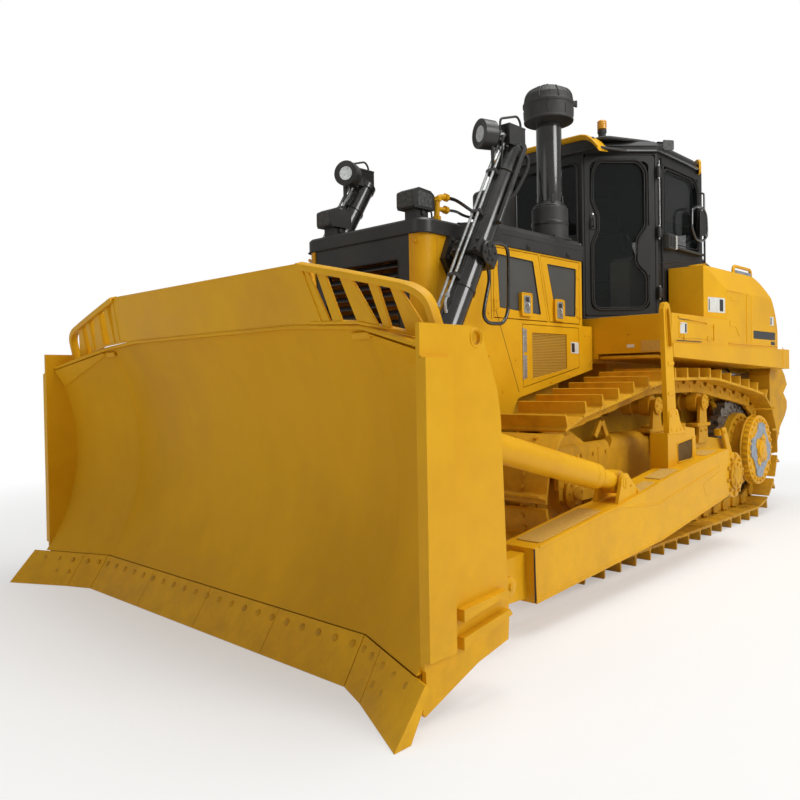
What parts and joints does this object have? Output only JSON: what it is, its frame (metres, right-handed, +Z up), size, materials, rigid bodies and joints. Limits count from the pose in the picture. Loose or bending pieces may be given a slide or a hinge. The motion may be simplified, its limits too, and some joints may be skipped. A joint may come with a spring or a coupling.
{
  "type": "bulldozer",
  "caption": "Crawler bulldozer with a semi-U blade on push arms, lift and tilt cylinders, hinged engine and cab doors, a closed cab and steel tracks.",
  "frame": {"origin": "centre of the bounding box's base, on the ground midway between the tracks", "axes": "+X to the machine's left, +Y to its rear, +Z up; the blade faces -Y"},
  "size_m": [4.3, 7.9398, 4.305],
  "materials": {
    "yellow_paint": "satin",
    "black_paint": "satin",
    "dark_steel": "rough",
    "chrome_rod": "polished",
    "cab_glass": "gloss",
    "seat_cloth": "woven",
    "amber_lens": "gloss"
  },
  "bodies": {
    "machine": {"beacon": "amber_lens", "cab_base": "black_paint", "cab_body": "black_paint", "cab_glass": "cab_glass", "cab_roof": "black_paint", "control_consoles": "black_paint", "engine": "black_paint", "engine_sides": "yellow_paint", "final_drives": "yellow_paint", "fuel_tank": "yellow_paint", "grille": "black_paint", "guard_cap": "black_paint", "hood": "black_paint", "idlers": "yellow_paint", "lamps": "black_paint", "main_frame": "black_paint", "muffler": "black_paint", "operator_seat": "seat_cloth", "platform": "yellow_paint", "precleaner": "black_paint", "radiator_guard": "yellow_paint", "rear_counterweight": "yellow_paint", "sprockets": "dark_steel", "track_frames": "yellow_paint", "track_left": "yellow_paint", "track_right": "yellow_paint", "track_rollers": "yellow_paint", "yoke_brackets": "black_paint"},
    "lift_axis": {"arm_bearings": "yellow_paint"},
    "blade": {"moldboard": "yellow_paint", "blade_back": "yellow_paint", "blade_sides": "yellow_paint", "cutting_edges": "yellow_paint", "rock_guard": "yellow_paint"},
    "arm_left": {"arm_left": "yellow_paint"},
    "arm_right": {"arm_right": "yellow_paint"},
    "strut": {"strut": "yellow_paint"},
    "tilt_barrel": {"tilt_barrel": "yellow_paint"},
    "tilt_rod": {"tilt_rod": "chrome_rod"},
    "lift_yoke_left": {"lift_yoke_left": "black_paint"},
    "lift_yoke_right": {"lift_yoke_right": "black_paint"},
    "lift_barrel_left": {"lift_barrel_left": "yellow_paint"},
    "lift_barrel_right": {"lift_barrel_right": "yellow_paint"},
    "lift_rod_left": {"lift_rod_left": "chrome_rod"},
    "lift_rod_right": {"lift_rod_right": "chrome_rod"},
    "cab_door_left": {"cab_door_left": "black_paint", "door_glass_left": "cab_glass"},
    "cab_door_right": {"cab_door_right": "black_paint", "door_glass_right": "cab_glass"},
    "engine_door_front_left": {"engine_door_front_left": "yellow_paint"},
    "engine_door_front_right": {"engine_door_front_right": "yellow_paint"},
    "engine_door_rear_left": {"engine_door_rear_left": "yellow_paint"},
    "engine_door_rear_right": {"engine_door_rear_right": "yellow_paint"},
    "engine_door_lower_left": {"engine_door_lower_left": "yellow_paint"},
    "engine_door_lower_right": {"engine_door_lower_right": "yellow_paint"}
  },
  "joints": [
    {"name": "blade_lift", "type": "hinge", "parent": "machine", "child": "lift_axis", "pos_m": [0, 0.92, 0.65], "axis": [-1, 0, 0], "range_deg": [-8, 18]},
    {"name": "blade_tilt", "type": "hinge", "parent": "lift_axis", "child": "blade", "pos_m": [0, -2.61, 0.353], "axis": [0, 1, 0], "range_deg": [-6, 6]},
    {"name": "arm_left_pitch", "type": "hinge", "parent": "lift_axis", "child": "arm_left", "pos_m": [1.645, 0.92, 0.65], "axis": [1, 0, 0], "range_deg": [-2.9, 2.9]},
    {"name": "arm_right_pitch", "type": "hinge", "parent": "lift_axis", "child": "arm_right", "pos_m": [-1.645, 0.92, 0.65], "axis": [1, 0, 0], "range_deg": [-2.9, 2.9]},
    {"name": "strut_swing", "type": "hinge", "parent": "arm_left", "child": "strut", "pos_m": [1.645, -1.14, 0.8], "axis": [-0.2938, 0.2471, 0.9234], "range_deg": [-3.14, 3.14]},
    {"name": "tilt_cylinder_swing", "type": "hinge", "parent": "arm_right", "child": "tilt_barrel", "pos_m": [-1.645, -1.14, 0.8], "axis": [0.2938, 0.2471, 0.9234], "range_deg": [-3.14, 3.14]},
    {"name": "tilt_rod_slide", "type": "slide", "parent": "tilt_barrel", "child": "tilt_rod", "axis": [0.0324, -0.968, 0.2488], "range_m": [-0.029, 0.029]},
    {"name": "lift_yoke_left_swing", "type": "hinge", "parent": "machine", "child": "lift_yoke_left", "pos_m": [0.88, -1.762, 2.48], "axis": [-1, 0, 0], "range_deg": [-9.16, 20.36]},
    {"name": "lift_barrel_left_swing", "type": "hinge", "parent": "lift_yoke_left", "child": "lift_barrel_left", "pos_m": [0.88, -1.762, 2.48], "axis": [0, -0.8554, 0.518], "range_deg": [-1.05, 1.05]},
    {"name": "lift_rod_left_slide", "type": "slide", "parent": "lift_barrel_left", "child": "lift_rod_left", "axis": [0.024, -0.5179, -0.8551], "range_m": [-0.995, 0.445]},
    {"name": "lift_yoke_right_swing", "type": "hinge", "parent": "machine", "child": "lift_yoke_right", "pos_m": [-0.88, -1.762, 2.48], "axis": [-1, 0, 0], "range_deg": [-9.16, 20.36]},
    {"name": "lift_barrel_right_swing", "type": "hinge", "parent": "lift_yoke_right", "child": "lift_barrel_right", "pos_m": [-0.88, -1.762, 2.48], "axis": [0, -0.8554, 0.518], "range_deg": [-1.05, 1.05]},
    {"name": "lift_rod_right_slide", "type": "slide", "parent": "lift_barrel_right", "child": "lift_rod_right", "axis": [-0.024, -0.5179, -0.8551], "range_m": [-0.995, 0.445]},
    {"name": "cab_door_left_hinge", "type": "hinge", "parent": "machine", "child": "cab_door_left", "pos_m": [0.95859, 1.05258, 3], "axis": [0, 0, 1], "range_deg": [0, 90]},
    {"name": "engine_door_front_left_hinge", "type": "hinge", "parent": "machine", "child": "engine_door_front_left", "pos_m": [0.65, -1.224, 2.36], "axis": [0, 0, -1], "range_deg": [0, 85]},
    {"name": "engine_door_rear_left_hinge", "type": "hinge", "parent": "machine", "child": "engine_door_rear_left", "pos_m": [0.65, 0.099, 2.36], "axis": [0, 0, 1], "range_deg": [0, 90]},
    {"name": "engine_door_lower_left_hinge", "type": "hinge", "parent": "machine", "child": "engine_door_lower_left", "pos_m": [0.65, -0.824, 1.75], "axis": [0, 0, -1], "range_deg": [0, 60]},
    {"name": "cab_door_right_hinge", "type": "hinge", "parent": "machine", "child": "cab_door_right", "pos_m": [-0.95859, 1.05258, 3], "axis": [0, 0, -1], "range_deg": [0, 90]},
    {"name": "engine_door_front_right_hinge", "type": "hinge", "parent": "machine", "child": "engine_door_front_right", "pos_m": [-0.65, -1.224, 2.36], "axis": [0, 0, 1], "range_deg": [0, 85]},
    {"name": "engine_door_rear_right_hinge", "type": "hinge", "parent": "machine", "child": "engine_door_rear_right", "pos_m": [-0.65, 0.099, 2.36], "axis": [0, 0, -1], "range_deg": [0, 90]},
    {"name": "engine_door_lower_right_hinge", "type": "hinge", "parent": "machine", "child": "engine_door_lower_right", "pos_m": [-0.65, -0.824, 1.75], "axis": [0, 0, 1], "range_deg": [0, 60]}
  ],
  "couplings": [
    {"joint": "arm_left_pitch", "follows": "blade_tilt", "ratio": 0.46601},
    {"joint": "arm_right_pitch", "follows": "blade_tilt", "ratio": -0.46601},
    {"joint": "strut_swing", "follows": "blade_tilt", "ratio": 0.50627},
    {"joint": "tilt_cylinder_swing", "follows": "blade_tilt", "ratio": 0.50627},
    {"joint": "tilt_rod_slide", "follows": "blade_tilt", "m_per_rad": 0.25393},
    {"joint": "lift_yoke_left_swing", "follows": "blade_lift", "ratio": 1.12},
    {"joint": "lift_barrel_left_swing", "follows": "blade_tilt", "ratio": 0.15821},
    {"joint": "lift_rod_left_slide", "follows": "blade_lift", "m_per_rad": -3.15},
    {"joint": "lift_yoke_right_swing", "follows": "blade_lift", "ratio": 1.12},
    {"joint": "lift_barrel_right_swing", "follows": "blade_tilt", "ratio": 0.15821},
    {"joint": "lift_rod_right_slide", "follows": "blade_lift", "m_per_rad": -3.15}
  ]
}
